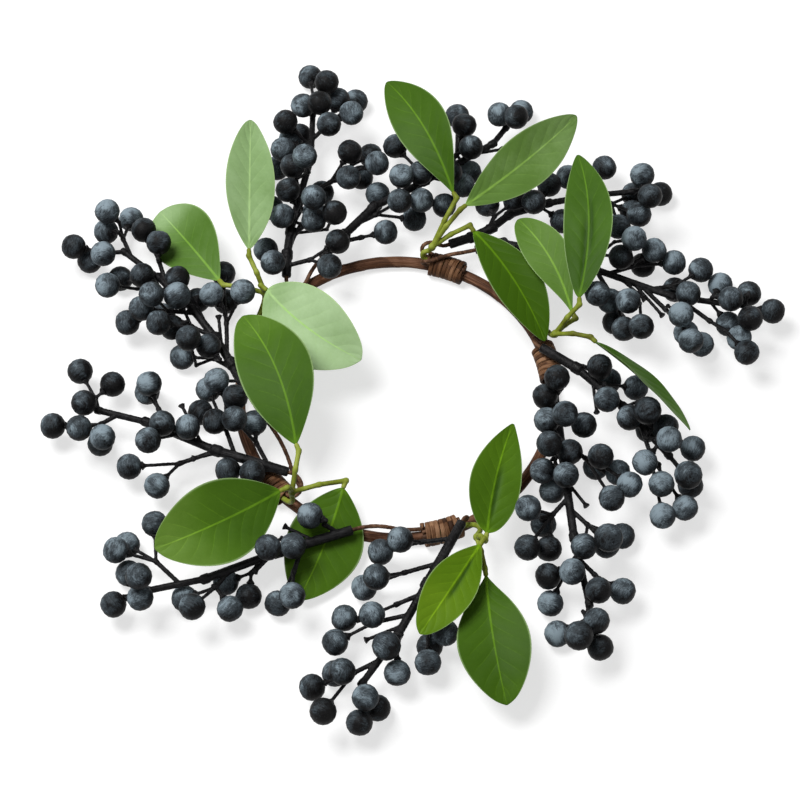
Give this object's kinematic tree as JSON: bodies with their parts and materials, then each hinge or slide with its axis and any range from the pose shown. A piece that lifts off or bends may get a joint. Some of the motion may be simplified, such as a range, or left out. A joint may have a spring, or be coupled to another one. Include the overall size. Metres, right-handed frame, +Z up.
{
  "type": "candle ring",
  "caption": "Wreath-like ring of dark berries and green leaves on a taped wire hoop, laid on a table round the foot of a candle.",
  "frame": {"origin": "centre of the wire ring's circle, at the level of the surface that the ring lies on", "axes": "+Z up through the candle opening, +X to the right and +Y away from the camera in the picture"},
  "size_m": [0.297, 0.3046, 0.042],
  "materials": {
    "steel_wire": "bare",
    "brown_paper_tape": "smooth waxed paper",
    "paper_covered_wire": "matt paper",
    "black_moulded_stem": "satin",
    "dark_berry": "satin with a pale bloom",
    "green_stalk": "satin",
    "green_leaf": "satin, with printed veins",
    "light_leaf": "satin, with printed veins",
    "pale_leaf": "satin, pale, with a green midrib"
  },
  "bodies": {
    "root": {"berries_1": "dark_berry", "berries_10": "dark_berry", "berries_2": "dark_berry", "berries_3": "dark_berry", "berries_4": "dark_berry", "berries_5": "dark_berry", "berries_6": "dark_berry", "berries_7": "dark_berry", "berries_8": "dark_berry", "berries_9": "dark_berry", "berry_stem_1": "black_moulded_stem", "berry_stem_10": "black_moulded_stem", "berry_stem_2": "black_moulded_stem", "berry_stem_3": "black_moulded_stem", "berry_stem_4": "black_moulded_stem", "berry_stem_5": "black_moulded_stem", "berry_stem_6": "black_moulded_stem", "berry_stem_7": "black_moulded_stem", "berry_stem_8": "black_moulded_stem", "berry_stem_9": "black_moulded_stem", "binding_1": "paper_covered_wire", "binding_2": "paper_covered_wire", "binding_3": "paper_covered_wire", "binding_4": "paper_covered_wire", "binding_5": "paper_covered_wire", "leaf_1a": "light_leaf", "leaf_1b": "light_leaf", "leaf_1c": "pale_leaf", "leaf_2a": "green_leaf", "leaf_2b": "light_leaf", "leaf_2c": "green_leaf", "leaf_3a": "light_leaf", "leaf_3b": "green_leaf", "leaf_3c": "green_leaf", "leaf_4a": "green_leaf", "leaf_4b": "light_leaf", "leaf_4c": "green_leaf", "leaf_5a": "green_leaf", "leaf_5b": "green_leaf", "leaf_5c": "green_leaf", "leaf_stem_1": "green_stalk", "leaf_stem_2": "green_stalk", "leaf_stem_3": "green_stalk", "leaf_stem_4": "green_stalk", "leaf_stem_5": "green_stalk", "ring_tape": "brown_paper_tape", "ring_wire": "steel_wire", "stem_end_1": "paper_covered_wire", "stem_end_10": "paper_covered_wire", "stem_end_2": "paper_covered_wire", "stem_end_3": "paper_covered_wire", "stem_end_4": "paper_covered_wire", "stem_end_5": "paper_covered_wire", "stem_end_6": "paper_covered_wire", "stem_end_7": "paper_covered_wire", "stem_end_8": "paper_covered_wire", "stem_end_9": "paper_covered_wire"}
  },
  "joints": []
}
